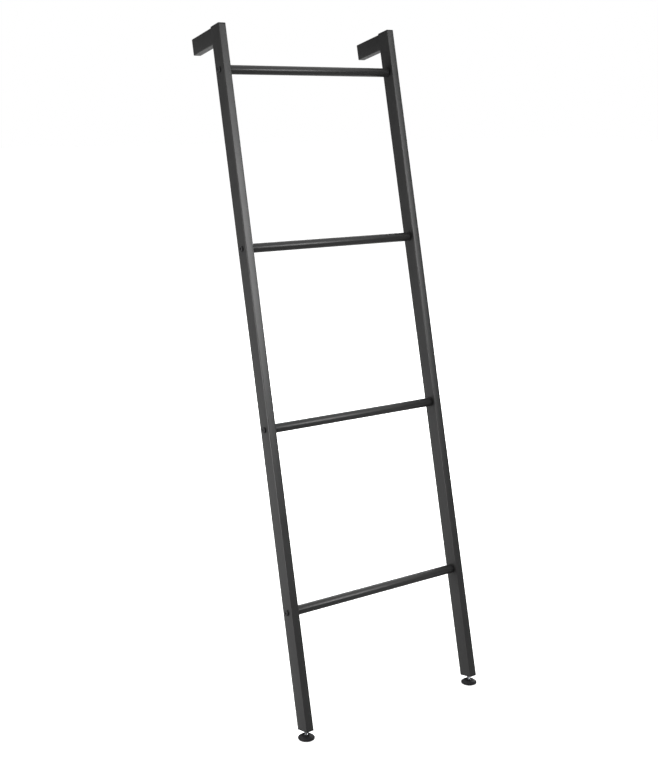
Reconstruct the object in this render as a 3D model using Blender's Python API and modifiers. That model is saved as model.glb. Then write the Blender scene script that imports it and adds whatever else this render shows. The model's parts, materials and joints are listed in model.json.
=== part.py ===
"""Leaning ladder rack of black steel tube, for hanging blankets, quilts and towels.

Two rectangular tube rails lean back against a wall on two arms welded behind their tops. Four round
rungs are bolted between them. Plastic caps close the tubes, and each rail stands on a levelling foot:
a threaded stud with a ball end, in a pad that lies flat on the floor however far the rails lean.

Frame: X across the ladder, Y towards the wall, Z up, with the floor at Z = 0 and the origin under the
middle of the whole. The ladder itself is laid out in a frame of its own, the empty ladder_frame:
x across, y from the rails' front face towards the wall, z up along the rails from their lower ends.
All sizes are in metres.
"""

import math

import bmesh
import bpy
from mathutils import Matrix

# Overall sizes
LEAN = math.radians(13.0)
LADDER_LENGTH = 1.655  # along a rail, end caps included
RAIL_SPACING = 0.490  # between the rails' centre lines
ARM_REACH = 0.098  # from the back of a rail to the end of its arm, cap included

# Rectangular tube of the rails and arms
TUBE_WIDTH = 0.020
TUBE_DEPTH = 0.040
TUBE_WALL = 0.0012
TUBE_CORNER = 0.0025

# Rungs
RUNG_COUNT = 4
RUNG_DIAMETER = 0.022
RUNG_WALL = 0.0012
LOWEST_RUNG_HEIGHT = 0.273  # along the rails, from their lower ends
TOP_RUNG_DROP = 0.107  # along the rails, from their upper ends
INSERT_LENGTH = 0.020

# Button-head bolts that hold the rungs
BOLT_DIAMETER = 0.008
BOLT_GRIP = 0.012  # length of thread inside the rung insert
BOLT_TIP = 0.001
HEAD_DIAMETER = 0.014
HEAD_HEIGHT = 0.0044
HEAD_RIM = 0.0008
SOCKET_ACROSS_FLATS = 0.005
SOCKET_DEPTH = 0.0026
SOCKET_LAND = 0.0012  # flat ring on the head round the socket

# Plastic end caps and the plug that holds the foot
CAP_FLANGE = 0.0025
CAP_PLUG_LENGTH = 0.014
CAP_SKIRT = 0.0015
BUSHING_WALL = 0.0015
BUSHING_LENGTH = 0.016
BUSHING_CHAMFER = 0.0005
PLUG_SEAT = 0.004  # plastic left under the bushing

# Levelling feet
STUD_DIAMETER = 0.008
STUD_LENGTH = 0.048  # from the ball's centre
STUD_TIP = 0.001
STUD_SHOWN = 0.0114  # from the ball's centre to the underside of the plug
NECK_DIAMETER = 0.0045
NECK_LENGTH = 0.006  # from the ball's centre
BALL_DIAMETER = 0.009
MOUTH_RISE = 0.0026  # from the ball's centre to the socket's mouth
COLLAR_WALL = 0.0022
COLLAR_HEIGHT = 0.002
PAD_DIAMETER = 0.039
PAD_RIM_WIDTH = 0.0025
PAD_RIM_HEIGHT = 0.002
PAD_RIM_ROUND = 0.0006
PAD_FLOOR = 0.001  # plastic left under the ball's socket
SOLE_WALL = 0.0017  # plastic round the sole's recess
SOLE_RECESS = 0.001
SOLE_PROUD = 0.0012  # how far the sole stands below the pad

GAP = 0.0003  # between pieces that touch, screw or slide together
OVERCUT = 0.002  # how far a cutter runs past the face that it cuts

ROUND_STEPS = 24
CORNER_STEPS = 3
ARC_STEPS = 4

# Places along the ladder
TUBE_BOTTOM = CAP_FLANGE + GAP
TUBE_TOP = LADDER_LENGTH - CAP_FLANGE - GAP
ARM_START = TUBE_DEPTH + GAP
ARM_END = TUBE_DEPTH + ARM_REACH - CAP_FLANGE - GAP
RUNG_LENGTH = RAIL_SPACING - TUBE_WIDTH - 2 * GAP
RUNG_PITCH = (LADDER_LENGTH - TOP_RUNG_DROP - LOWEST_RUNG_HEIGHT) / (RUNG_COUNT - 1)
RUNG_HEIGHTS = [LOWEST_RUNG_HEIGHT + i * RUNG_PITCH for i in range(RUNG_COUNT)]

# Places in the foot, measured up from the ball's centre
SOCKET_RADIUS = BALL_DIAMETER / 2 + GAP
RECESS_TOP = -SOCKET_RADIUS - PAD_FLOOR
PAD_BOTTOM = RECESS_TOP - SOLE_RECESS
FLOOR_LEVEL = PAD_BOTTOM - SOLE_PROUD

# Where the leaning frame stands, so that the soles are on the floor and the whole is centred on Y
LOW_CORNER_HEIGHT = TUBE_DEPTH / 2 * math.sin(LEAN) + STUD_SHOWN * math.cos(LEAN) - FLOOR_LEVEL
FRONT_OF_PAD = TUBE_DEPTH / 2 * math.cos(LEAN) - STUD_SHOWN * math.sin(LEAN) - PAD_DIAMETER / 2
WALL_EDGE = (TUBE_DEPTH + ARM_REACH) * math.cos(LEAN) + TUBE_TOP * math.sin(LEAN)
LOW_CORNER_PLACE = -(min(FRONT_OF_PAD, 0.0) + WALL_EDGE) / 2

SIDES = (("left", -1), ("right", 1))

for old in list(bpy.data.objects):
    bpy.data.objects.remove(old, do_unlink=True)

parts = bpy.data.collections.new("leaning_ladder")
cutters = bpy.data.collections.new("cutters")
bpy.context.scene.collection.children.link(parts)
bpy.context.scene.collection.children.link(cutters)


# ---- Shaping -----------------------------------------------------------------------------------------


def new_mesh(name, shape):
    """Turn a bmesh into a mesh of that name."""
    mesh = bpy.data.meshes.new(name)
    shape.to_mesh(mesh)
    shape.free()
    return mesh


def rounded_bar(width, depth, length):
    """A bar along Z from the origin, in the tube's outline with rounded long edges."""
    bar = bmesh.new()
    bmesh.ops.create_cube(bar, size=1.0)
    bmesh.ops.scale(bar, vec=(width, depth, length), verts=bar.verts)
    bmesh.ops.translate(bar, vec=(0, 0, length / 2), verts=bar.verts)
    long_edges = [e for e in bar.edges if abs(e.verts[0].co.z - e.verts[1].co.z) > length / 2]
    bmesh.ops.bevel(
        bar, geom=long_edges, offset=TUBE_CORNER, segments=CORNER_STEPS, profile=0.5, affect="EDGES"
    )
    return bar


def end_faces(shape, directions):
    """The faces of a bar that look along +Z (1) or -Z (-1)."""
    shape.normal_update()
    return [f for f in shape.faces if any(f.normal.z * d > 0.9 for d in directions)]


def open_tube(name, shape, wall):
    """Take the ends off a bar and give what is left a wall inside it."""
    bmesh.ops.delete(shape, geom=end_faces(shape, (1, -1)), context="FACES")
    blank = bpy.data.objects.new(name, new_mesh(name, shape))
    solidify = blank.modifiers.new("wall", "SOLIDIFY")
    solidify.thickness = wall
    solidify.offset = -1
    solidify.use_even_offset = True
    return blank


def cylinder(radius, length, steps=ROUND_STEPS):
    """A closed cylinder along Z from the origin, with flats and not corners across X and Y."""
    shape = bmesh.new()
    half_turn_of_a_flat = Matrix.Rotation(math.pi / steps, 4, "Z")
    bmesh.ops.create_cone(
        shape,
        cap_ends=True,
        segments=steps,
        radius1=radius,
        radius2=radius,
        depth=length,
        matrix=Matrix.Translation((0, 0, length / 2)) @ half_turn_of_a_flat,
    )
    return shape


def turned(name, outline, closed=False):
    """Turn an outline of (radius, height) points round Z. It runs down its outer side."""
    count = len(outline)
    edges = [(i, i + 1) for i in range(count - 1)]
    if closed:
        edges.append((count - 1, 0))
    mesh = bpy.data.meshes.new(name)
    mesh.from_pydata([(radius, 0, height) for radius, height in outline], edges, [])
    blank = bpy.data.objects.new(name, mesh)
    screw = blank.modifiers.new("turn", "SCREW")
    screw.steps = ROUND_STEPS
    screw.render_steps = ROUND_STEPS
    screw.use_merge_vertices = True
    screw.merge_threshold = 0.00001
    return blank


def arc(centre, radius, start, end, steps=ARC_STEPS):
    """Points on a circle of (radius, height), from one angle above the horizontal to another."""
    angles = [math.radians(start + (end - start) * i / steps) for i in range(steps + 1)]
    return [(centre[0] + radius * math.cos(a), centre[1] + radius * math.sin(a)) for a in angles]


def cut(blank, name, shape, location=(0, 0, 0), rotation=(0, 0, 0)):
    """Take a shape away from a blank."""
    cutter = bpy.data.objects.new(name, new_mesh(name, shape))
    cutter.location = location
    cutter.rotation_euler = rotation
    cutter.hide_render = True
    cutter.display_type = "WIRE"
    cutters.objects.link(cutter)
    boolean = blank.modifiers.new(name, "BOOLEAN")
    boolean.operation = "DIFFERENCE"
    boolean.solver = "EXACT"
    boolean.object = cutter


def finished(blank):
    """The blank's mesh with its modifiers carried out, ready for each piece that is made from it."""
    cutters.objects.link(blank)
    bpy.context.view_layer.update()
    graph = bpy.context.evaluated_depsgraph_get()
    mesh = bpy.data.meshes.new_from_object(blank.evaluated_get(graph))
    mesh.name = blank.name
    mesh.shade_smooth()
    mesh.set_sharp_from_angle(angle=math.radians(30))
    bpy.data.objects.remove(blank, do_unlink=True)
    return mesh


# ---- Finishes ----------------------------------------------------------------------------------------


def finish(name, colour, roughness, metallic):
    """A plain material of one colour."""
    material = bpy.data.materials.new(name)
    material.use_nodes = True
    shader = material.node_tree.nodes["Principled BSDF"]
    shader.inputs["Base Color"].default_value = (*colour, 1.0)
    shader.inputs["Roughness"].default_value = roughness
    shader.inputs["Metallic"].default_value = metallic
    material.diffuse_color = (*colour, 1.0)
    return material


POWDER_COAT = finish("powder_coat", (0.045, 0.045, 0.046), 0.55, 0.0)
CAP_PLASTIC = finish("cap_plastic", (0.018, 0.018, 0.019), 0.45, 0.0)
BOLT_BLACK = finish("bolt_black", (0.015, 0.015, 0.016), 0.35, 0.6)
BARE_STEEL = finish("bare_steel", (0.42, 0.41, 0.40), 0.4, 1.0)
ZINC = finish("zinc_plate", (0.72, 0.73, 0.75), 0.25, 1.0)
PAD_PLASTIC = finish("pad_plastic", (0.02, 0.02, 0.021), 0.4, 0.0)
SOLE_RUBBER = finish("sole_rubber", (0.012, 0.012, 0.012), 0.85, 0.0)


# ---- Placing -----------------------------------------------------------------------------------------


def add_empty(name, parent, location, rotation):
    """A frame that pieces are placed in."""
    empty = bpy.data.objects.new(name, None)
    empty.empty_display_size = 0.05
    empty.parent = parent
    empty.location = location
    empty.rotation_euler = rotation
    parts.objects.link(empty)
    return empty


def add_piece(name, mesh, material, parent, location=(0, 0, 0), rotation=(0, 0, 0)):
    """One physical piece."""
    if not mesh.materials:
        mesh.materials.append(material)
    piece = bpy.data.objects.new(name, mesh)
    piece.parent = parent
    piece.location = location
    piece.rotation_euler = rotation
    parts.objects.link(piece)
    return piece


# ---- The pieces' shapes ------------------------------------------------------------------------------


def rail_mesh():
    """A rail's tube, drilled through both walls where each rung's bolt passes."""
    blank = open_tube("rail", rounded_bar(TUBE_WIDTH, TUBE_DEPTH, TUBE_TOP - TUBE_BOTTOM), TUBE_WALL)
    hole_length = TUBE_WIDTH + 2 * OVERCUT
    for number, height in enumerate(RUNG_HEIGHTS, 1):
        cut(
            blank,
            f"bolt_hole_{number}",
            cylinder(BOLT_DIAMETER / 2 + GAP, hole_length),
            location=(-hole_length / 2, 0, height - TUBE_BOTTOM),
            rotation=(0, math.pi / 2, 0),
        )
    return finished(blank)


def arm_mesh():
    """An arm's tube, cut square at both ends."""
    return finished(open_tube("arm", rounded_bar(TUBE_WIDTH, TUBE_DEPTH, ARM_END - ARM_START), TUBE_WALL))


def rung_mesh():
    """A rung's round tube."""
    return finished(open_tube("rung", cylinder(RUNG_DIAMETER / 2, RUNG_LENGTH), RUNG_WALL))


def insert_mesh():
    """The threaded ring in the end of a rung, from its outer face inwards."""
    outer = RUNG_DIAMETER / 2 - RUNG_WALL - GAP
    inner = BOLT_DIAMETER / 2 + GAP
    outline = [(inner, INSERT_LENGTH), (outer, INSERT_LENGTH), (outer, 0), (inner, 0)]
    return finished(turned("insert", outline, closed=True))


def bolt_mesh():
    """A bolt with its shank down -Z from the underside of the head, and a hexagon socket on top."""
    shank = BOLT_DIAMETER / 2
    length = TUBE_WIDTH + 2 * GAP + BOLT_GRIP
    head = HEAD_DIAMETER / 2
    socket = SOCKET_ACROSS_FLATS / math.sqrt(3)
    land = socket + SOCKET_LAND
    rise = HEAD_HEIGHT - HEAD_RIM
    steps = [math.radians(90 * i / ARC_STEPS) for i in range(ARC_STEPS + 1)]
    dome = [(land + (head - land) * math.sin(a), HEAD_RIM + rise * math.cos(a)) for a in steps]
    outline = [
        (0, HEAD_HEIGHT),
        *dome,
        (head, 0),
        (shank, 0),
        (shank, BOLT_TIP - length),
        (shank - BOLT_TIP, -length),
        (0, -length),
    ]
    blank = turned("bolt", outline)
    hexagon = cylinder(socket, SOCKET_DEPTH + OVERCUT, steps=6)
    cut(blank, "hex_socket", hexagon, location=(0, 0, HEAD_HEIGHT - SOCKET_DEPTH))
    return finished(blank)


def plug_shape(plug_length):
    """A flange in the tube's outline, with a plug above it that fits inside the tube."""
    shape = rounded_bar(TUBE_WIDTH, TUBE_DEPTH, CAP_FLANGE)
    top = end_faces(shape, (1,))
    bmesh.ops.inset_region(shape, faces=top, thickness=TUBE_WALL + GAP, use_even_offset=True)
    lifted = bmesh.ops.extrude_face_region(shape, geom=top)
    bmesh.ops.delete(shape, geom=top, context="FACES_ONLY")
    verts = [v for v in lifted["geom"] if isinstance(v, bmesh.types.BMVert)]
    bmesh.ops.translate(shape, vec=(0, 0, plug_length), verts=verts)
    bmesh.ops.recalc_face_normals(shape, faces=shape.faces)
    return shape


def cap_mesh():
    """An end cap: a flange and a hollow skirt."""
    blank = bpy.data.objects.new("cap", new_mesh("cap", plug_shape(CAP_PLUG_LENGTH)))
    border = TUBE_WALL + GAP + CAP_SKIRT
    hollow = bmesh.new()
    bmesh.ops.create_cube(hollow, size=1.0)
    size = (TUBE_WIDTH - 2 * border, TUBE_DEPTH - 2 * border, CAP_PLUG_LENGTH + OVERCUT)
    bmesh.ops.scale(hollow, vec=size, verts=hollow.verts)
    cut(blank, "cap_hollow", hollow, location=(0, 0, CAP_FLANGE + size[2] / 2))
    return finished(blank)


def bottom_plug_mesh():
    """The plug in a rail's lower end, bored for the foot's stud and for the bushing above it."""
    height = PLUG_SEAT + GAP + BUSHING_LENGTH
    blank = bpy.data.objects.new("bottom_plug", new_mesh("bottom_plug", plug_shape(height - CAP_FLANGE)))
    stud_hole = cylinder(STUD_DIAMETER / 2 + GAP, height + 2 * OVERCUT)
    cut(blank, "stud_hole", stud_hole, location=(0, 0, -OVERCUT))
    pocket = cylinder(STUD_DIAMETER / 2 + GAP + BUSHING_WALL + GAP, height)
    cut(blank, "bushing_pocket", pocket, location=(0, 0, PLUG_SEAT))
    return finished(blank)


def bushing_mesh():
    """The threaded bushing that the foot's stud turns in."""
    inner = STUD_DIAMETER / 2 + GAP
    outer = inner + BUSHING_WALL
    edge = BUSHING_CHAMFER
    outline = [
        (inner + edge, BUSHING_LENGTH),
        (outer, BUSHING_LENGTH),
        (outer, 0),
        (inner + edge, 0),
        (inner, edge),
        (inner, BUSHING_LENGTH - edge),
    ]
    return finished(turned("bushing", outline, closed=True))


def stud_mesh():
    """A foot's stud, with its ball centred on the origin."""
    shank = STUD_DIAMETER / 2
    neck = NECK_DIAMETER / 2
    ball = BALL_DIAMETER / 2
    neck_angle = math.degrees(math.acos(neck / ball))
    outline = [
        (0, STUD_LENGTH),
        (shank - STUD_TIP, STUD_LENGTH),
        (shank, STUD_LENGTH - STUD_TIP),
        (shank, NECK_LENGTH),
        (neck, NECK_LENGTH),
        *arc((0, 0), ball, neck_angle, -90, steps=2 * ARC_STEPS),
    ]
    outline[-1] = (0, -ball)
    return finished(turned("foot_stud", outline))


def pad_mesh():
    """A foot's pad: a domed disc with a socket that closes over the ball, centred on the origin."""
    mouth_angle = math.degrees(math.asin(MOUTH_RISE / SOCKET_RADIUS))
    socket = arc((0, 0), SOCKET_RADIUS, -90, mouth_angle, steps=2 * ARC_STEPS)
    socket[0] = (0, -SOCKET_RADIUS)
    collar = SOCKET_RADIUS + COLLAR_WALL
    rim = PAD_DIAMETER / 2
    rim_top = PAD_BOTTOM + PAD_RIM_HEIGHT
    collar_base = MOUTH_RISE - COLLAR_HEIGHT
    dome_edge = rim - PAD_RIM_WIDTH
    steps = [math.radians(90 * i / ARC_STEPS) for i in range(ARC_STEPS + 1)]
    dome = [
        (collar + (dome_edge - collar) * math.sin(a), rim_top + (collar_base - rim_top) * math.cos(a))
        for a in steps
    ]
    recess = rim - SOLE_WALL
    outline = [
        *socket,
        (collar, MOUTH_RISE),
        *dome,
        (rim - PAD_RIM_ROUND, rim_top),
        (rim, rim_top - PAD_RIM_ROUND),
        (rim, PAD_BOTTOM),
        (recess, PAD_BOTTOM),
        (recess, RECESS_TOP),
        (0, RECESS_TOP),
    ]
    return finished(turned("foot_pad", outline))


def sole_mesh():
    """The rubber disc in the pad's recess, which stands on the floor."""
    radius = PAD_DIAMETER / 2 - SOLE_WALL - GAP
    top = RECESS_TOP - GAP
    outline = [(0, top), (radius, top), (radius, FLOOR_LEVEL), (0, FLOOR_LEVEL)]
    return finished(turned("foot_sole", outline))


# ---- The ladder --------------------------------------------------------------------------------------

ladder_frame = add_empty("ladder_frame", None, (0, LOW_CORNER_PLACE, LOW_CORNER_HEIGHT), (-LEAN, 0, 0))

rail = rail_mesh()
arm = arm_mesh()
rung = rung_mesh()
insert = insert_mesh()
bolt = bolt_mesh()
cap = cap_mesh()
bottom_plug = bottom_plug_mesh()
bushing = bushing_mesh()
stud = stud_mesh()
pad = pad_mesh()
sole = sole_mesh()

MIDDLE = TUBE_DEPTH / 2
ARM_HEIGHT = TUBE_TOP - TUBE_DEPTH / 2

for number, height in enumerate(RUNG_HEIGHTS, 1):
    add_piece(
        f"rung_{number}",
        rung,
        POWDER_COAT,
        ladder_frame,
        location=(-RUNG_LENGTH / 2, MIDDLE, height),
        rotation=(0, math.pi / 2, 0),
    )
    for side, sign in SIDES:
        add_piece(
            f"rung_{number}_{side}_insert",
            insert,
            BARE_STEEL,
            ladder_frame,
            location=(sign * RUNG_LENGTH / 2, MIDDLE, height),
            rotation=(0, -sign * math.pi / 2, 0),
        )
        add_piece(
            f"rung_{number}_{side}_bolt",
            bolt,
            BOLT_BLACK,
            ladder_frame,
            location=(sign * (RAIL_SPACING / 2 + TUBE_WIDTH / 2 + GAP), MIDDLE, height),
            rotation=(0, sign * math.pi / 2, 0),
        )

for side, sign in SIDES:
    across = sign * RAIL_SPACING / 2
    add_piece(f"{side}_rail", rail, POWDER_COAT, ladder_frame, location=(across, MIDDLE, TUBE_BOTTOM))
    add_piece(
        f"{side}_arm",
        arm,
        POWDER_COAT,
        ladder_frame,
        location=(across, ARM_START, ARM_HEIGHT),
        rotation=(-math.pi / 2, 0, 0),
    )
    add_piece(
        f"{side}_top_cap",
        cap,
        CAP_PLASTIC,
        ladder_frame,
        location=(across, MIDDLE, LADDER_LENGTH),
        rotation=(math.pi, 0, 0),
    )
    add_piece(
        f"{side}_wall_cap",
        cap,
        CAP_PLASTIC,
        ladder_frame,
        location=(across, TUBE_DEPTH + ARM_REACH, ARM_HEIGHT),
        rotation=(math.pi / 2, 0, 0),
    )
    add_piece(
        f"{side}_bottom_plug", bottom_plug, CAP_PLASTIC, ladder_frame, location=(across, MIDDLE, 0)
    )
    add_piece(
        f"{side}_foot_bushing",
        bushing,
        BARE_STEEL,
        ladder_frame,
        location=(across, MIDDLE, PLUG_SEAT + GAP),
    )
    ball_place = (across, MIDDLE, -STUD_SHOWN)
    add_piece(f"{side}_foot_stud", stud, ZINC, ladder_frame, location=ball_place)
    foot_ball = add_empty(f"{side}_foot_ball", ladder_frame, ball_place, (LEAN, 0, 0))
    add_piece(f"{side}_foot_pad", pad, PAD_PLASTIC, foot_ball)
    add_piece(f"{side}_foot_sole", sole, SOLE_RUBBER, foot_ball)
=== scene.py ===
import json
import math

import bpy
from mathutils import Matrix, Vector


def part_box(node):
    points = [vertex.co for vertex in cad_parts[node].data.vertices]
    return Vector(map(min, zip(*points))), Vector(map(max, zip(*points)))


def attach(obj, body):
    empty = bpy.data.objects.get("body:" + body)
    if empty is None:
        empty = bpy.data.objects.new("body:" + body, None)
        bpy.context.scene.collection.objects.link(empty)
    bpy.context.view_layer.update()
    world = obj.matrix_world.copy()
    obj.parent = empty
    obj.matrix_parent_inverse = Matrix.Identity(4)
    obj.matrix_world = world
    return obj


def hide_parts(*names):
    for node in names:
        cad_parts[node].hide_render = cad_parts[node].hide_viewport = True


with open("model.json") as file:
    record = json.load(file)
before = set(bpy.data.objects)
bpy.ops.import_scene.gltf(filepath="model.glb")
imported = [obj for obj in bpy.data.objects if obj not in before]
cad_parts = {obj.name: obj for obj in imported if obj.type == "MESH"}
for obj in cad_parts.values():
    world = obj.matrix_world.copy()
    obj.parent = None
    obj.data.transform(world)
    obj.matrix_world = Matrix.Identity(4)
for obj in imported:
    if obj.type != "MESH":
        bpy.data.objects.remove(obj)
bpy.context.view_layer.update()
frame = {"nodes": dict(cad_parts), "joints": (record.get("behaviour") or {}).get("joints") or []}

# ---- The studio ----
# The ladder stands alone on a white sweep, seen from its left and from nearly its own height. A
# bright ceiling and five softboxes light it, of which the main ones are at its front and its left.

scene = bpy.context.scene
scene.view_settings.view_transform = "Standard"


def deselect_all():
    """Leave edit mode, with nothing selected."""
    if bpy.context.mode != "OBJECT":
        bpy.ops.object.mode_set(mode="OBJECT")
    bpy.ops.object.select_all(action="DESELECT")


def aim(thing, target):
    """Turn a camera or a light towards a point."""
    thing.rotation_euler = (Vector(target) - thing.location).to_track_quat("-Z", "Y").to_euler()


CAMERA_PLACE = (-1.6435, -2.4081, 1.4389)
CAMERA_PITCH = 9.110  # degrees below level
CAMERA_YAW = 33.919  # degrees to the right of the wall's square
CAMERA_LENS = 55.492  # millimetres, on a 36 mm sensor
CAMERA_SHIFT = -0.11474
deselect_all()
bpy.ops.object.camera_add(
    location=CAMERA_PLACE,
    rotation=(math.radians(90 - CAMERA_PITCH), 0, -math.radians(CAMERA_YAW)),
)
camera = bpy.context.object
camera.name = "camera"
camera.data.lens = CAMERA_LENS
camera.data.sensor_width = 36
camera.data.shift_y = CAMERA_SHIFT
camera.data.clip_start = 0.05
scene.camera = camera

# The sweep is a sheet of matt white board. It is overexposed where it is seen, and its bounce is
# held back so that the undersides of the coated tubes stay dark.
FLOOR_SIZE = 80.0
BOARD_GLOW = 0.36
BOARD_SEEN = 0.95
BOARD_BOUNCE = 0.30
deselect_all()
bpy.ops.mesh.primitive_plane_add(size=FLOOR_SIZE, location=(0, 0, 0))
floor = bpy.context.object
floor.name = "floor"
white_board = bpy.data.materials.new("white_board")
white_board.use_nodes = True
board_nodes, board_links = white_board.node_tree.nodes, white_board.node_tree.links
board_nodes.clear()
board_out = board_nodes.new("ShaderNodeOutputMaterial")
board_mix = board_nodes.new("ShaderNodeMixShader")
board_ray = board_nodes.new("ShaderNodeLightPath")
board_seen = board_nodes.new("ShaderNodeBsdfDiffuse")
board_seen.inputs["Color"].default_value = (BOARD_SEEN, BOARD_SEEN, BOARD_SEEN, 1)
board_bounce = board_nodes.new("ShaderNodeBsdfDiffuse")
board_bounce.inputs["Color"].default_value = (BOARD_BOUNCE, BOARD_BOUNCE, BOARD_BOUNCE, 1)
board_links.new(board_ray.outputs["Is Camera Ray"], board_mix.inputs["Fac"])
board_links.new(board_bounce.outputs["BSDF"], board_mix.inputs[1])
board_glow = board_nodes.new("ShaderNodeEmission")
board_glow.inputs["Strength"].default_value = BOARD_GLOW
board_white = board_nodes.new("ShaderNodeAddShader")
board_links.new(board_seen.outputs["BSDF"], board_white.inputs[0])
board_links.new(board_glow.outputs["Emission"], board_white.inputs[1])
board_links.new(board_white.outputs["Shader"], board_mix.inputs[2])
board_links.new(board_mix.outputs["Shader"], board_out.inputs["Surface"])
floor.data.materials.append(white_board)

# The room is white where it is seen. As light, it is bright overhead and close to dark elsewhere.
ROOM_OVERHEAD = 1.35
ROOM_BEHIND = 0.04
ROOM_AMBIENT = 0.03
room = bpy.data.worlds.new("room")
room.use_nodes = True
scene.world = room
room_nodes, room_links = room.node_tree.nodes, room.node_tree.links
room_nodes.clear()
toward = room_nodes.new("ShaderNodeTexCoord")
split = room_nodes.new("ShaderNodeSeparateXYZ")


def room_glow(axis, start, end, level):
    """Light that grows along one direction of the room, from nothing to a level."""
    glow = room_nodes.new("ShaderNodeMapRange")
    glow.interpolation_type = "SMOOTHSTEP"
    glow.inputs["From Min"].default_value = start
    glow.inputs["From Max"].default_value = end
    glow.inputs["To Max"].default_value = level
    room_links.new(split.outputs[axis], glow.inputs["Value"])
    return glow


overhead = room_glow("Z", 0.35, 0.80, ROOM_OVERHEAD)
behind = room_glow("Y", -0.1, 0.4, ROOM_BEHIND)
both_glows = room_nodes.new("ShaderNodeMath")
both_glows.operation = "ADD"
with_ambient = room_nodes.new("ShaderNodeMath")
with_ambient.operation = "ADD"
with_ambient.inputs[1].default_value = ROOM_AMBIENT
room_light = room_nodes.new("ShaderNodeBackground")
room_seen = room_nodes.new("ShaderNodeBackground")
room_seen.inputs["Color"].default_value = (1, 1, 1, 1)
ray = room_nodes.new("ShaderNodeLightPath")
either = room_nodes.new("ShaderNodeMixShader")
room_out = room_nodes.new("ShaderNodeOutputWorld")
room_links.new(toward.outputs["Generated"], split.inputs["Vector"])
room_links.new(overhead.outputs["Result"], both_glows.inputs[0])
room_links.new(behind.outputs["Result"], both_glows.inputs[1])
room_links.new(both_glows.outputs["Value"], with_ambient.inputs[0])
room_links.new(with_ambient.outputs["Value"], room_light.inputs["Strength"])
room_links.new(ray.outputs["Is Camera Ray"], either.inputs["Fac"])
room_links.new(room_light.outputs["Background"], either.inputs[1])
room_links.new(room_seen.outputs["Background"], either.inputs[2])
room_links.new(either.outputs["Shader"], room_out.inputs["Surface"])


def softbox(name, place, target, width, height, power):
    """A rectangular soft light that looks at a point. Sides are in metres, and power in watts."""
    deselect_all()
    bpy.ops.object.light_add(type="AREA", location=place)
    lamp = bpy.context.object
    lamp.name = name
    lamp.data.shape = "RECTANGLE"
    lamp.data.size = width
    lamp.data.size_y = height
    lamp.data.energy = power
    lamp.visible_camera = False
    aim(lamp, target)


softbox("key_softbox", (1.55, -3.9, 2.40), (0, 0, 1.15), 1.7, 1.3, 95)
softbox("high_softbox", (3.0, -3.0, 4.0), (0.1, 0, 1.0), 1.6, 1.4, 12)
softbox("left_softbox", (-3.2, 0.3, 0.7), (-0.2, 0, 0.6), 1.6, 1.2, 115)
softbox("right_softbox", (3.2, 0.8, 1.3), (0.2, 0, 0.9), 1.6, 1.2, 70)
softbox("sweep_softbox", (0.8, 2.6, 2.4), (0.8, 3.4, 0), 4.0, 1.4, 170)

# ---- Rails ----
# Two straight lengths of 20 x 40 mm steel tube with a 1.2 mm wall and rounded corners, sawn square.
# Each is drilled through for its four rung bolts and then powder coated in a fine satin black.

lean_axis = Vector(
    next(j for j in frame["joints"] if j["name"] == "left_foot_height")["axis"]
)
LEAN = math.atan2(-lean_axis.y, -lean_axis.z)  # how far the ladder leans towards the wall
TUBE_WALL = 0.0012
TUBE_CORNER = 0.0016
CORNER_SEGMENTS = 6
COAT_COLOUR = 0.017
COAT_ROUGHNESS = (0.32, 0.40)


def upright_box(node):
    """Lowest and highest corner and the size of a CAD node, with the ladder stood upright."""
    turn = Matrix.Rotation(LEAN, 4, "X")
    points = [turn @ v.co for v in frame["nodes"][node].data.vertices]
    low = Vector([min(p[i] for p in points) for i in range(3)])
    high = Vector([max(p[i] for p in points) for i in range(3)])
    return low, high, high - low


def add_box(low, high):
    """A block between two corners, left in edit mode with nothing selected."""
    deselect_all()
    bpy.ops.mesh.primitive_cube_add(size=1)
    block = bpy.context.object
    bpy.ops.object.mode_set(mode="EDIT")
    bpy.ops.transform.resize(value=tuple(Vector(high) - Vector(low)))
    bpy.ops.transform.translate(value=tuple((Vector(high) + Vector(low)) / 2))
    bpy.ops.mesh.select_all(action="DESELECT")
    return block


def pick_faces(thing, test):
    """In edit mode, select the faces whose (centre, normal) pass the test, and no others."""
    bpy.ops.mesh.select_mode(type="FACE")
    bpy.ops.mesh.select_all(action="DESELECT")
    bpy.ops.object.mode_set(mode="OBJECT")
    for face in thing.data.polygons:
        face.select = test(face.center, face.normal)
    bpy.ops.object.mode_set(mode="EDIT")


def pick_edges(thing, test):
    """In edit mode, select the edges whose two ends pass the test, and no others."""
    bpy.ops.mesh.select_mode(type="EDGE")
    bpy.ops.mesh.select_all(action="DESELECT")
    bpy.ops.object.mode_set(mode="OBJECT")
    points = thing.data.vertices
    for edge in thing.data.edges:
        edge.select = test(points[edge.vertices[0]].co, points[edge.vertices[1]].co)
    bpy.ops.object.mode_set(mode="EDIT")


def open_both_ends(thing, axis, wall):
    """In edit mode, turn a solid bar into a tube: inset both end faces and bridge them."""
    pick_faces(thing, lambda centre, normal: abs(normal[axis]) > 0.99)
    bpy.ops.mesh.inset(thickness=wall, use_even_offset=True)
    bpy.ops.mesh.bridge_edge_loops()


def add_tube(node, axis):
    """Rectangular tube on a CAD node's own size and place, along one axis of the upright ladder."""
    low, high, size = upright_box(node)
    tube = add_box(low, high)
    pick_edges(tube, lambda a, b: abs(a[axis] - b[axis]) > size[axis] / 2)
    bpy.ops.mesh.bevel(offset=TUBE_CORNER, segments=CORNER_SEGMENTS, affect="EDGES")
    open_both_ends(tube, axis, TUBE_WALL)
    bpy.ops.object.mode_set(mode="OBJECT")
    return tube


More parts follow.
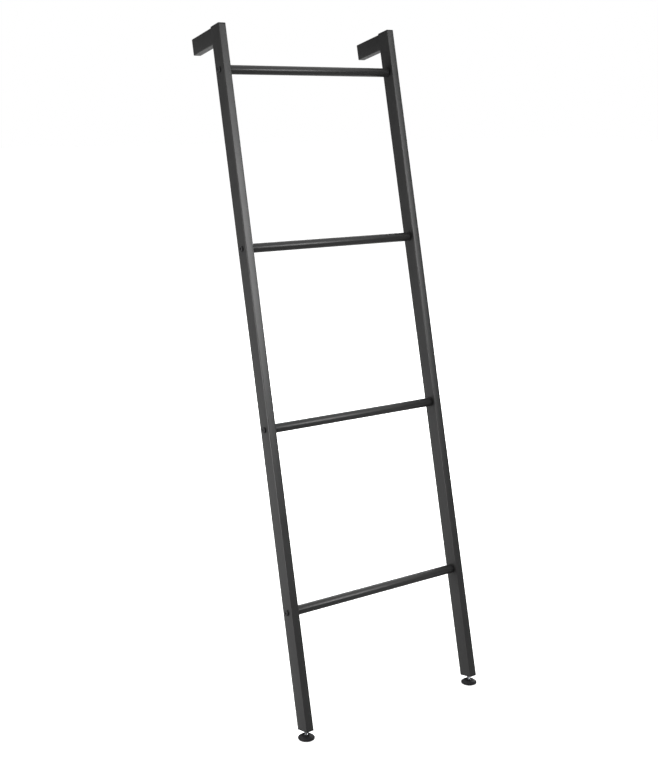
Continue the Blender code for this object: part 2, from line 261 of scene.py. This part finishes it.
def take_away(thing, cutter):
    """Cut one object out of another, and throw the cutter away."""
    deselect_all()
    thing.select_set(True)
    bpy.context.view_layer.objects.active = thing
    cut = thing.modifiers.new("cut", "BOOLEAN")
    cut.operation = "DIFFERENCE"
    cut.solver = "EXACT"
    cut.object = cutter
    bpy.ops.object.modifier_apply(modifier=cut.name)
    bpy.data.objects.remove(cutter, do_unlink=True)


def smooth(thing, degrees):
    """Shade a piece smooth between its sharp edges."""
    deselect_all()
    thing.select_set(True)
    bpy.context.view_layer.objects.active = thing
    bpy.ops.object.shade_smooth_by_angle(angle=math.radians(degrees))


def lean_back(thing):
    """Turn a piece that was made upright to where it is on the leaning ladder."""
    thing.data.transform(Matrix.Rotation(-LEAN, 4, "X") @ thing.matrix_world)
    thing.matrix_world = Matrix.Identity(4)


def stand_for(thing, name, node, body):
    """Name a piece, let it ride on a body and show it in place of a CAD node."""
    thing.name = thing.data.name = name
    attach(thing, body)
    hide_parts(node)


def grained(name, shades, roughness, grain, depth, patches, metallic=0.0, specular=0.5):
    """A finish with patches of two shades, a roughness that wanders, and a fine grain in relief.

    grain is how many grains there are to a metre, depth how deep they are in metres, and patches
    how many patches there are to a metre."""
    material = bpy.data.materials.new(name)
    material.use_nodes = True
    nodes, links = material.node_tree.nodes, material.node_tree.links
    shader = nodes["Principled BSDF"]
    shader.inputs["Metallic"].default_value = metallic
    shader.inputs["Specular IOR Level"].default_value = specular
    place = nodes.new("ShaderNodeTexCoord")
    cloud = nodes.new("ShaderNodeTexNoise")
    cloud.inputs["Scale"].default_value = patches
    cloud.inputs["Detail"].default_value = 4.0
    shade = nodes.new("ShaderNodeValToRGB")
    shade.color_ramp.elements[0].position = 0.3
    shade.color_ramp.elements[1].position = 0.7
    shade.color_ramp.elements[0].color = (*shades[0], 1)
    shade.color_ramp.elements[1].color = (*shades[1], 1)
    wander = nodes.new("ShaderNodeMapRange")
    wander.inputs["To Min"].default_value = roughness[0]
    wander.inputs["To Max"].default_value = roughness[1]
    coarse = nodes.new("ShaderNodeTexNoise")
    coarse.inputs["Scale"].default_value = grain
    coarse.inputs["Detail"].default_value = 2.0
    fine = nodes.new("ShaderNodeTexNoise")
    fine.inputs["Scale"].default_value = grain * 3.7
    fine.inputs["Detail"].default_value = 2.0
    both = nodes.new("ShaderNodeMath")
    both.operation = "MULTIPLY_ADD"
    both.inputs[1].default_value = 0.45
    relief = nodes.new("ShaderNodeBump")
    relief.inputs["Strength"].default_value = 0.6
    relief.inputs["Distance"].default_value = depth
    for texture in (cloud, coarse, fine):
        links.new(place.outputs["Object"], texture.inputs["Vector"])
    links.new(cloud.outputs["Fac"], shade.inputs["Fac"])
    links.new(shade.outputs["Color"], shader.inputs["Base Color"])
    links.new(cloud.outputs["Fac"], wander.inputs["Value"])
    links.new(wander.outputs["Result"], shader.inputs["Roughness"])
    links.new(fine.outputs["Fac"], both.inputs[0])
    links.new(coarse.outputs["Fac"], both.inputs[2])
    links.new(both.outputs["Value"], relief.inputs["Height"])
    links.new(relief.outputs["Normal"], shader.inputs["Normal"])
    return material


powder_coat = grained(
    "powder_coat",
    shades=((0.93 * COAT_COLOUR,) * 3, (1.07 * COAT_COLOUR,) * 3),
    roughness=COAT_ROUGHNESS,
    grain=1500,
    depth=0.00004,
    patches=14,
)

BOLT_HOLE = 0.0086
DRILL_LENGTH = 0.03
DRILL_SIDES = 48
for side in ("left", "right"):
    rail = add_tube(f"{side}_rail", axis=2)
    rail_low, rail_high, _ = upright_box(f"{side}_rail")
    rail_middle = (rail_low + rail_high) / 2
    for number in (1, 2, 3, 4):
        low, high, _ = upright_box(f"rung_{number}")
        deselect_all()
        bpy.ops.mesh.primitive_cylinder_add(
            vertices=DRILL_SIDES,
            radius=BOLT_HOLE / 2,
            depth=DRILL_LENGTH,
            location=(rail_middle.x, rail_middle.y, (low.z + high.z) / 2),
            rotation=(0, math.radians(90), 0),
        )
        take_away(rail, bpy.context.object)
    smooth(rail, degrees=30)
    lean_back(rail)
    rail.data.materials.append(powder_coat)
    stand_for(rail, f"{side}_rail_tube", f"{side}_rail", "ladder")

# ---- Arms and their welds ----
# Two short lengths of the same tube that hold the rails off the wall. Each is welded square to the
# back of its rail; the side welds are ground flush, and the bead under the arm is left as it is.

WELD_DEPTH = 0.0017  # how far the ground weld reaches into the rail's rounded corners
WELD_INTO_ARM = 0.0005
WELD_SHY = 0.00003  # how far the ground weld stays under the tubes' faces
BEAD_RADIUS = 0.0021
BEAD_SINK = 0.0002
BEAD_SIDES = 24
BEAD_RIPPLES = 12
RIPPLE_SWELL = 1.07
ROUND_STEPS = 5  # rings in each rounded end of the bead
for side in ("left", "right"):
    arm = add_tube(f"{side}_arm", axis=1)
    smooth(arm, degrees=30)
    lean_back(arm)
    arm.data.materials.append(powder_coat)
    stand_for(arm, f"{side}_arm_tube", f"{side}_arm", "ladder")

    low, high, size = upright_box(f"{side}_arm")
    weld = add_box(
        (low.x + WELD_SHY, low.y - WELD_DEPTH, low.z + WELD_SHY),
        (high.x - WELD_SHY, low.y + WELD_INTO_ARM, high.z - WELD_SHY),
    )
    pick_edges(weld, lambda a, b: abs(a.y - b.y) > WELD_DEPTH / 2)
    bpy.ops.mesh.bevel(offset=TUBE_CORNER, segments=CORNER_SEGMENTS, affect="EDGES")
    deselect_all()
    bead_length = size.x - 2 * TUBE_CORNER
    bpy.ops.mesh.primitive_cylinder_add(
        vertices=BEAD_SIDES,
        radius=BEAD_RADIUS,
        depth=bead_length,
        location=((low.x + high.x) / 2, low.y - BEAD_SINK, low.z + BEAD_SINK),
        rotation=(0, math.radians(90), 0),
    )
    bead = bpy.context.object
    bead_middle = bead.location.copy()
    bpy.ops.object.transform_apply(location=True, rotation=True, scale=True)
    bpy.ops.object.mode_set(mode="EDIT")
    pick_faces(bead, lambda centre, normal: abs(normal.x) > 0.9)
    bpy.ops.mesh.bevel(offset=BEAD_RADIUS * 0.7, segments=4, affect="EDGES")
    pick_edges(bead, lambda a, b: abs(a.x - b.x) > bead_length / 2)
    bpy.ops.mesh.subdivide(number_cuts=2 * BEAD_RIPPLES - 1)
    bpy.ops.object.mode_set(mode="OBJECT")
    rings = sorted({round(v.co.x, 7) for v in bead.data.vertices})
    bpy.ops.object.mode_set(mode="EDIT")
    for ring in rings[ROUND_STEPS:-ROUND_STEPS:2]:
        bpy.ops.mesh.select_mode(type="VERT")
        bpy.ops.mesh.select_all(action="DESELECT")
        bpy.ops.object.mode_set(mode="OBJECT")
        for point in bead.data.vertices:
            point.select = abs(point.co.x - ring) < 1e-6
        bpy.ops.object.mode_set(mode="EDIT")
        bpy.ops.transform.resize(
            value=(1, RIPPLE_SWELL, RIPPLE_SWELL), center_override=tuple(bead_middle)
        )
    deselect_all()
    bead.select_set(True)
    weld.select_set(True)
    bpy.context.view_layer.objects.active = weld
    bpy.ops.object.join()
    smooth(weld, degrees=40)
    lean_back(weld)
    weld.name = weld.data.name = f"{side}_arm_weld"
    weld.data.materials.append(powder_coat)
    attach(weld, "ladder")

# ---- Rungs ----
# Four lengths of 22 mm round tube, cut to fit between the rails and powder coated like them.
# Their ends are deburred, so a hair of shadow shows where each butts against its rail.

RUNG_DIAMETER = 0.022
RUNG_WALL = 0.0012
RUNG_DEBURR = 0.0003
RUNG_SIDES = 96
for number in (1, 2, 3, 4):
    node = f"rung_{number}"
    low, high, size = upright_box(node)
    deselect_all()
    bpy.ops.mesh.primitive_cylinder_add(
        vertices=RUNG_SIDES,
        radius=RUNG_DIAMETER / 2,
        depth=size.x,
        location=(low + high) / 2,
        rotation=(0, math.radians(90), 0),
    )
    rung = bpy.context.object
    bpy.ops.object.transform_apply(location=True, rotation=True, scale=True)
    bpy.ops.object.mode_set(mode="EDIT")
    pick_edges(rung, lambda a, b: abs(a.x - b.x) < size.x / 2)
    bpy.ops.mesh.bevel(offset=RUNG_DEBURR, segments=2, affect="EDGES")
    open_both_ends(rung, 0, RUNG_WALL - RUNG_DEBURR)
    smooth(rung, degrees=30)
    lean_back(rung)
    rung.data.materials.append(powder_coat)
    stand_for(rung, f"{node}_tube", node, "ladder")

# ---- Rung inserts ----
# Short steel rings pressed into the ends of each rung and tapped for the bolts. They are turned
# from bar, so fine tool marks run round them. Only their mouths show, down the bolt holes.


def turned_metal(name, shades, roughness, marks, depth, axis):
    """Bare metal from the lathe: fine rings round an axis in relief, over a roughness that wanders
    in patches.

    marks is how many rings there are to a metre, and depth how deep they are in metres."""
    material = grained(name, shades, roughness, 2200, depth * 0.4, 60, metallic=1.0)
    nodes, links = material.node_tree.nodes, material.node_tree.links
    shader = nodes["Principled BSDF"]
    place = next(n for n in nodes if n.bl_idname == "ShaderNodeTexCoord")
    relief = next(n for n in nodes if n.bl_idname == "ShaderNodeBump")
    rings = nodes.new("ShaderNodeTexWave")
    rings.wave_type = "BANDS"
    rings.bands_direction = axis
    rings.inputs["Scale"].default_value = marks / 20
    rings.inputs["Distortion"].default_value = 1.5
    rings.inputs["Detail"].default_value = 2.0
    cut_relief = nodes.new("ShaderNodeBump")
    cut_relief.inputs["Strength"].default_value = 0.5
    cut_relief.inputs["Distance"].default_value = depth
    links.new(place.outputs["Object"], rings.inputs["Vector"])
    links.new(rings.outputs["Fac"], cut_relief.inputs["Height"])
    links.new(relief.outputs["Normal"], cut_relief.inputs["Normal"])
    links.new(cut_relief.outputs["Normal"], shader.inputs["Normal"])
    return material


across_turned_steel = turned_metal(
    "across_turned_steel",
    shades=((0.36, 0.35, 0.34), (0.46, 0.45, 0.44)),
    roughness=(0.30, 0.45),
    marks=4000,
    depth=0.00002,
    axis="X",
)
for number in (1, 2, 3, 4):
    for side in ("left", "right"):
        insert = frame["nodes"][f"rung_{number}_{side}_insert"]
        insert.data.materials.clear()
        insert.data.materials.append(across_turned_steel)

# ---- Rung bolts ----
# M8 button-head screws with a 5 mm hexagon socket, blackened and lightly oiled. One goes in from
# the outer side of each rail, through both walls of the tube and into the rung's insert.

HEAD_HEIGHT = 0.0044
HEAD_RIM = 0.0008  # straight edge of the head, under its dome
HEAD_SIDES = 72
DOME_STEPS = 10
SOCKET_ACROSS_FLATS = 0.005
SOCKET_LAND = 0.0012  # flat ring on the head round the socket
SOCKET_DEPTH = 0.0026
SOCKET_CONE = 0.0006  # depth of the drill's point at the socket's bottom
BOLT_SHANK = 0.008
BOLT_TIP = 0.001
THREAD_PITCH = 0.00125
THREAD_DEPTH = 0.00068
THREADED_LENGTH = 0.012

bolt_black = grained(
    "bolt_black",
    shades=((0.011, 0.011, 0.012), (0.016, 0.016, 0.017)),
    roughness=(0.50, 0.60),
    grain=3200,
    depth=0.00001,
    patches=160,
    specular=0.3,
)


def grow(thing, axis, sign, move, ratio, middle):
    """In edit mode, extrude the outermost face on one side by a distance, and scale it there."""
    direction = Vector([sign * move if i == axis else 0 for i in range(3)])
    bpy.ops.mesh.extrude_region_move(TRANSFORM_OT_translate={"value": tuple(direction)})
    scales = [1 if i == axis else ratio for i in range(3)]
    bpy.ops.transform.resize(value=scales, center_override=tuple(middle))


for side, sign in (("left", -1), ("right", 1)):
    for number in (1, 2, 3, 4):
        node = f"rung_{number}_{side}_bolt"
        low, high, size = upright_box(node)
        middle = (low + high) / 2
        head_radius = size.z / 2
        outer_x = low.x if sign < 0 else high.x
        inner_x = high.x if sign < 0 else low.x
        under_head = outer_x - sign * HEAD_HEIGHT
        deselect_all()
        bpy.ops.mesh.primitive_cylinder_add(
            vertices=HEAD_SIDES,
            radius=head_radius,
            depth=HEAD_RIM,
            location=(under_head + sign * HEAD_RIM / 2, middle.y, middle.z),
            rotation=(0, math.radians(90), 0),
        )
        bolt = bpy.context.object
        bpy.ops.object.transform_apply(location=True, rotation=True, scale=True)
        bpy.ops.object.mode_set(mode="EDIT")
        pick_faces(bolt, lambda centre, normal: normal.x * sign > 0.9)
        land = SOCKET_ACROSS_FLATS / math.sqrt(3) + SOCKET_LAND
        dome = [
            (
                land + (head_radius - land) * math.cos(math.radians(90 * i / DOME_STEPS)),
                (HEAD_HEIGHT - HEAD_RIM) * math.sin(math.radians(90 * i / DOME_STEPS)),
            )
            for i in range(DOME_STEPS + 1)
        ]
        for (wide, under), (narrow, over) in zip(dome, dome[1:]):
            grow(bolt, 0, sign, over - under, narrow / wide, middle)
        # the shank: a plain length where the bolt passes through the rail, then the thread's crests
        # and roots
        pick_faces(bolt, lambda centre, normal: normal.x * sign < -0.9)
        bpy.ops.mesh.inset(thickness=head_radius - BOLT_SHANK / 2)
        plain = abs(inner_x - under_head) - THREADED_LENGTH
        grow(bolt, 0, -sign, plain, 1, middle)
        root = 1 - THREAD_DEPTH / (BOLT_SHANK / 2)
        turns = int((THREADED_LENGTH - BOLT_TIP) / THREAD_PITCH)
        for _ in range(turns):
            grow(bolt, 0, -sign, THREAD_PITCH * 0.4, root, middle)
            grow(bolt, 0, -sign, THREAD_PITCH * 0.1, 1, middle)
            grow(bolt, 0, -sign, THREAD_PITCH * 0.4, 1 / root, middle)
            grow(bolt, 0, -sign, THREAD_PITCH * 0.1, 1, middle)
        grow(bolt, 0, -sign, THREADED_LENGTH - turns * THREAD_PITCH, 0.75, middle)
        deselect_all()
        bpy.ops.mesh.primitive_cylinder_add(
            vertices=6,
            radius=SOCKET_ACROSS_FLATS / math.sqrt(3),
            depth=2 * SOCKET_DEPTH,
            location=(outer_x, middle.y, middle.z),
            rotation=(0, math.radians(90), 0),
        )
        hexagon = bpy.context.object
        bpy.ops.object.transform_apply(location=True, rotation=True, scale=True)
        bpy.ops.object.mode_set(mode="EDIT")
        pick_faces(hexagon, lambda centre, normal: normal.x * sign < -0.9)
        grow(hexagon, 0, -sign, SOCKET_CONE, 0.15, middle)
        bpy.ops.object.mode_set(mode="OBJECT")
        take_away(bolt, hexagon)
        smooth(bolt, degrees=32)
        lean_back(bolt)
        bolt.data.materials.append(bolt_black)
        stand_for(bolt, f"rung_{number}_{side}_screw", node, "ladder")

# ---- Tube caps ----
# Moulded black plastic caps, pushed into the tops of the rails and the wall ends of the arms. Each
# has a flange with the tube's outline and a hollow skirt inside. The arms rest on theirs.

CAP_FLANGE = 0.0025
CAP_EDGE = 0.0006
CAP_SKIRT = 0.0009
CAP_TO_TUBE = 0.0003
moulded_plastic = grained(
    "moulded_plastic",
    shades=((0.009, 0.009, 0.010), (0.013, 0.013, 0.014)),
    roughness=(0.52, 0.62),
    grain=2600,
    depth=0.00002,
    patches=40,
    specular=0.35,
)


def add_cap(node, axis, sign):
    """A flange with rounded edges at the outer end of a CAD cap's box, and a plug behind it.

    axis and sign say which way the cap faces."""
    low, high, size = upright_box(node)
    flange_low, flange_high = low.copy(), high.copy()
    if sign > 0:
        flange_low[axis] = high[axis] - CAP_FLANGE
    else:
        flange_high[axis] = low[axis] + CAP_FLANGE
    cap = add_box(flange_low, flange_high)
    pick_edges(cap, lambda a, b: abs(a[axis] - b[axis]) > CAP_FLANGE / 2)
    bpy.ops.mesh.bevel(offset=TUBE_CORNER, segments=CORNER_SEGMENTS, affect="EDGES")
    face = flange_high[axis] if sign > 0 else flange_low[axis]
    pick_edges(cap, lambda a, b: abs(a[axis] - face) < 1e-5 and abs(b[axis] - face) < 1e-5)
    bpy.ops.mesh.bevel(offset=CAP_EDGE, segments=4, affect="EDGES")
    pick_faces(cap, lambda centre, normal: normal[axis] * sign < -0.9)
    bpy.ops.mesh.inset(thickness=TUBE_WALL + CAP_TO_TUBE, use_even_offset=True)
    grow(cap, axis, -sign, size[axis] - CAP_FLANGE, 1, (low + high) / 2)
    bpy.ops.object.mode_set(mode="OBJECT")
    return cap


def add_hollow_cap(name, node, axis):
    """A tube cap with its skirt hollowed out, for the high end of an axis."""
    low, high, _ = upright_box(node)
    cap = add_cap(node, axis, 1)
    skirt = Vector([TUBE_WALL + CAP_TO_TUBE + CAP_SKIRT] * 3)
    hollow_low, hollow_high = low + skirt, high - skirt
    hollow_low[axis] = low[axis] - CAP_FLANGE
    hollow_high[axis] = high[axis] - CAP_FLANGE
    hollow = add_box(hollow_low, hollow_high)
    bpy.ops.object.mode_set(mode="OBJECT")
    take_away(cap, hollow)
    smooth(cap, degrees=32)
    lean_back(cap)
    cap.data.materials.append(moulded_plastic)
    stand_for(cap, name, node, "ladder")


for side in ("left", "right"):
    add_hollow_cap(f"{side}_rail_cap", f"{side}_top_cap", 2)
    add_hollow_cap(f"{side}_arm_cap", f"{side}_wall_cap", 1)

# ---- Bottom plugs ----
# The same moulded cap at the foot of each rail, but with a solid plug, bored for the foot's stud
# and for the threaded steel bushing above it.

PLUG_SEAT = 0.004
STUD_HOLE = 0.0086
POCKET = 0.0122
DRILL_PAST = 0.001
for side in ("left", "right"):
    node = f"{side}_bottom_plug"
    low, high, _ = upright_box(node)
    middle = (low + high) / 2
    plug = add_cap(node, 2, -1)
    for bore, start, end in (
        (STUD_HOLE, low.z - DRILL_PAST, low.z + PLUG_SEAT + DRILL_PAST),
        (POCKET, low.z + PLUG_SEAT, high.z + DRILL_PAST),
    ):
        deselect_all()
        bpy.ops.mesh.primitive_cylinder_add(
            vertices=64,
            radius=bore / 2,
            depth=end - start,
            location=(middle.x, middle.y, (start + end) / 2),
        )
        take_away(plug, bpy.context.object)
    smooth(plug, degrees=32)
    lean_back(plug)
    plug.data.materials.append(moulded_plastic)
    stand_for(plug, f"{side}_rail_plug", node, "ladder")

# ---- Foot bushings ----
# Threaded steel bushings pressed into the plugs. The studs turn in them to set each foot's height.

upright_turned_steel = turned_metal(
    "upright_turned_steel",
    shades=((0.36, 0.35, 0.34), (0.46, 0.45, 0.44)),
    roughness=(0.30, 0.45),
    marks=4000,
    depth=0.00002,
    axis="Z",
)
for side in ("left", "right"):
    bushing = frame["nodes"][f"{side}_foot_bushing"]
    bushing.data.materials.clear()
    bushing.data.materials.append(upright_turned_steel)

# ---- Foot studs ----
# M8 steel studs, bright zinc plated. Each has a rolled thread, a plain neck and a turned ball at
# its lower end, which the pad's socket holds.

BALL_DIAMETER = 0.009
NECK_DIAMETER = 0.0045
NECK_LENGTH = 0.006
NECK_CHAMFER = 0.0004
STUD_DIAMETER = 0.008
STUD_TIP = 0.001
THREAD_STEPS = 40
BALL_STEPS = 20

zinc_plate = turned_metal(
    "zinc_plate",
    shades=((0.40, 0.41, 0.43), (0.52, 0.53, 0.56)),
    roughness=(0.20, 0.34),
    marks=3000,
    depth=0.00001,
    axis="Z",
)


def spin_outline(outline, steps, place):
    """Turn an outline of (radius, height) points round a vertical axis through a place."""
    deselect_all()
    bpy.ops.mesh.primitive_plane_add(size=1, location=place)
    thing = bpy.context.object
    bpy.ops.object.mode_set(mode="EDIT")
    bpy.ops.mesh.select_mode(type="VERT")
    bpy.ops.mesh.select_all(action="SELECT")
    bpy.ops.mesh.merge(type="CENTER")
    bpy.ops.transform.translate(value=(outline[0][0], 0, outline[0][1]))
    for (r0, z0), (r1, z1) in zip(outline, outline[1:]):
        bpy.ops.mesh.extrude_vertices_move(
            TRANSFORM_OT_translate={"value": (r1 - r0, 0, z1 - z0)}
        )
    bpy.ops.mesh.select_all(action="SELECT")
    bpy.ops.mesh.spin(
        steps=steps, angle=math.radians(360), center=place, axis=(0, 0, 1), use_auto_merge=True
    )
    bpy.ops.mesh.select_all(action="SELECT")
    bpy.ops.mesh.remove_doubles(threshold=0.00001)
    bpy.ops.mesh.normals_make_consistent(inside=False)
    bpy.ops.object.mode_set(mode="OBJECT")
    bpy.ops.object.transform_apply(location=True, rotation=True, scale=True)
    return thing


ball_radius = BALL_DIAMETER / 2
neck_radius = NECK_DIAMETER / 2
for side in ("left", "right"):
    node = f"{side}_foot_stud"
    low, high, size = upright_box(node)
    ball = Vector(((low.x + high.x) / 2, (low.y + high.y) / 2, low.z + ball_radius))
    from_neck = math.degrees(math.acos(neck_radius / ball_radius))
    outline = [(0, -ball_radius)]
    for i in range(1, BALL_STEPS + 1):
        angle = math.radians(-90 + (90 + from_neck) * i / BALL_STEPS)
        outline.append((ball_radius * math.cos(angle), ball_radius * math.sin(angle)))
    crest, root = STUD_DIAMETER / 2, STUD_DIAMETER / 2 - THREAD_DEPTH
    outline += [(neck_radius, NECK_LENGTH - NECK_CHAMFER)]
    outline += [(neck_radius + NECK_CHAMFER, NECK_LENGTH)]
    outline += [(root, NECK_LENGTH)]
    height = NECK_LENGTH
    top = size.z - ball_radius
    while height < top - STUD_TIP - THREAD_PITCH:
        outline += [
            (crest, height + 0.4 * THREAD_PITCH),
            (crest, height + 0.5 * THREAD_PITCH),
            (root, height + 0.9 * THREAD_PITCH),
            (root, height + THREAD_PITCH),
        ]
        height += THREAD_PITCH
    outline += [(root, top - STUD_TIP * 0.5), (root - 0.0005, top), (0, top)]
    stud = spin_outline(outline, THREAD_STEPS, ball)
    smooth(stud, degrees=30)
    lean_back(stud)
    stud.data.materials.append(zinc_plate)
    stand_for(stud, f"{side}_threaded_stud", node, f"{side}_stud")

# ---- Foot pads ----
# Moulded black plastic discs that snap over the studs' balls and swivel to lie flat on the floor.
# A low dome runs up to a collar round the ball; a step inside the rim is a mark of the mould.

PAD_RIM_WIDTH = 0.0025
PAD_RIM_HEIGHT = 0.002
PAD_RIM_ROUND = 0.0006
SOCKET_GAP = 0.0003
MOUTH_RISE = 0.0026
COLLAR_WALL = 0.0022
COLLAR_HEIGHT = 0.002
PAD_FLOOR = 0.001
SOLE_WALL = 0.0017
SOLE_RECESS = 0.001
PAD_STEPS = 96
DOME_RINGS = 12
RIM_RINGS = 6
STEP_DEPTH = 0.0003  # the mould's mark inside the rim

pad_plastic = grained(
    "pad_plastic",
    shades=((0.010, 0.010, 0.011), (0.015, 0.015, 0.016)),
    roughness=(0.58, 0.68),
    grain=2600,
    depth=0.00002,
    patches=60,
    specular=0.15,
)


def arc(radius, start, end, steps):
    """Points on a circle round the socket's centre, between two angles above level."""
    angles = [math.radians(start + (end - start) * i / steps) for i in range(steps + 1)]
    return [(radius * math.cos(a), radius * math.sin(a)) for a in angles]


socket_radius = ball_radius + SOCKET_GAP
recess_top = -socket_radius - PAD_FLOOR
pad_bottom = recess_top - SOLE_RECESS
for side in ("left", "right"):
    node = f"{side}_foot_pad"
    low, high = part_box(node)
    rim = (high.x - low.x) / 2
    ball = Vector(((low.x + high.x) / 2, (low.y + high.y) / 2, low.z - pad_bottom))
    mouth_angle = math.degrees(math.asin(MOUTH_RISE / socket_radius))
    collar = socket_radius + COLLAR_WALL
    rim_top = pad_bottom + PAD_RIM_HEIGHT
    collar_base = MOUTH_RISE - COLLAR_HEIGHT
    dome_edge = rim - PAD_RIM_WIDTH
    outline = [(0, -socket_radius), *arc(socket_radius, -84, mouth_angle, 18)]
    outline += [(socket_radius + 0.0002, MOUTH_RISE + 0.00005)]
    outline += [(collar - 0.0004, MOUTH_RISE), (collar - 0.0001, MOUTH_RISE - 0.0001)]
    outline += [(collar, MOUTH_RISE - 0.0004)]
    for i in range(DOME_RINGS + 1):
        angle = math.radians(90 * i / DOME_RINGS)
        outline.append(
            (
                collar + (dome_edge - collar) * math.sin(angle),
                rim_top + (collar_base - rim_top) * math.cos(angle),
            )
        )
    outline += [
        (dome_edge + 0.0003, rim_top - STEP_DEPTH),
        (dome_edge + 0.0007, rim_top - STEP_DEPTH),
        (dome_edge + 0.0009, rim_top),
    ]
    for i in range(RIM_RINGS + 1):
        angle = math.radians(90 * i / RIM_RINGS)
        outline.append(
            (
                rim - PAD_RIM_ROUND + PAD_RIM_ROUND * math.sin(angle),
                rim_top - PAD_RIM_ROUND + PAD_RIM_ROUND * math.cos(angle),
            )
        )
    outline += [(rim, pad_bottom + 0.0002), (rim - 0.0002, pad_bottom)]
    outline += [(rim - SOLE_WALL, pad_bottom), (rim - SOLE_WALL, recess_top), (0, recess_top)]
    pad = spin_outline(outline, PAD_STEPS, ball)
    smooth(pad, degrees=30)
    pad.data.materials.append(pad_plastic)
    stand_for(pad, f"{side}_swivel_pad", node, f"{side}_pad")

# ---- Foot soles ----
# Non-slip rubber discs glued into the pads' recesses, with moulded ring grooves underneath.

SOLE_EDGE = 0.0004
GROOVES = (0.0045, 0.0085, 0.0125)  # radii
GROOVE_WIDTH = 0.0010
GROOVE_DEPTH = 0.0005
sole_rubber = grained(
    "sole_rubber",
    shades=((0.008, 0.008, 0.008), (0.014, 0.014, 0.014)),
    roughness=(0.72, 0.88),
    grain=1800,
    depth=0.00005,
    patches=90,
)
for side in ("left", "right"):
    node = f"{side}_foot_sole"
    low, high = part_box(node)
    radius = (high.x - low.x) / 2
    middle = Vector(((low.x + high.x) / 2, (low.y + high.y) / 2, low.z))
    thickness = high.z - low.z
    outline = [(0, thickness), (radius, thickness), (radius, SOLE_EDGE), (radius - SOLE_EDGE, 0)]
    for groove in reversed(GROOVES):
        outline += [
            (groove + GROOVE_WIDTH / 2, 0),
            (groove + GROOVE_WIDTH / 4, GROOVE_DEPTH),
            (groove - GROOVE_WIDTH / 4, GROOVE_DEPTH),
            (groove - GROOVE_WIDTH / 2, 0),
        ]
    outline += [(0, 0)]
    sole = spin_outline(outline, PAD_STEPS, middle)
    smooth(sole, degrees=30)
    sole.data.materials.append(sole_rubber)
    stand_for(sole, f"{side}_rubber_sole", node, f"{side}_pad")
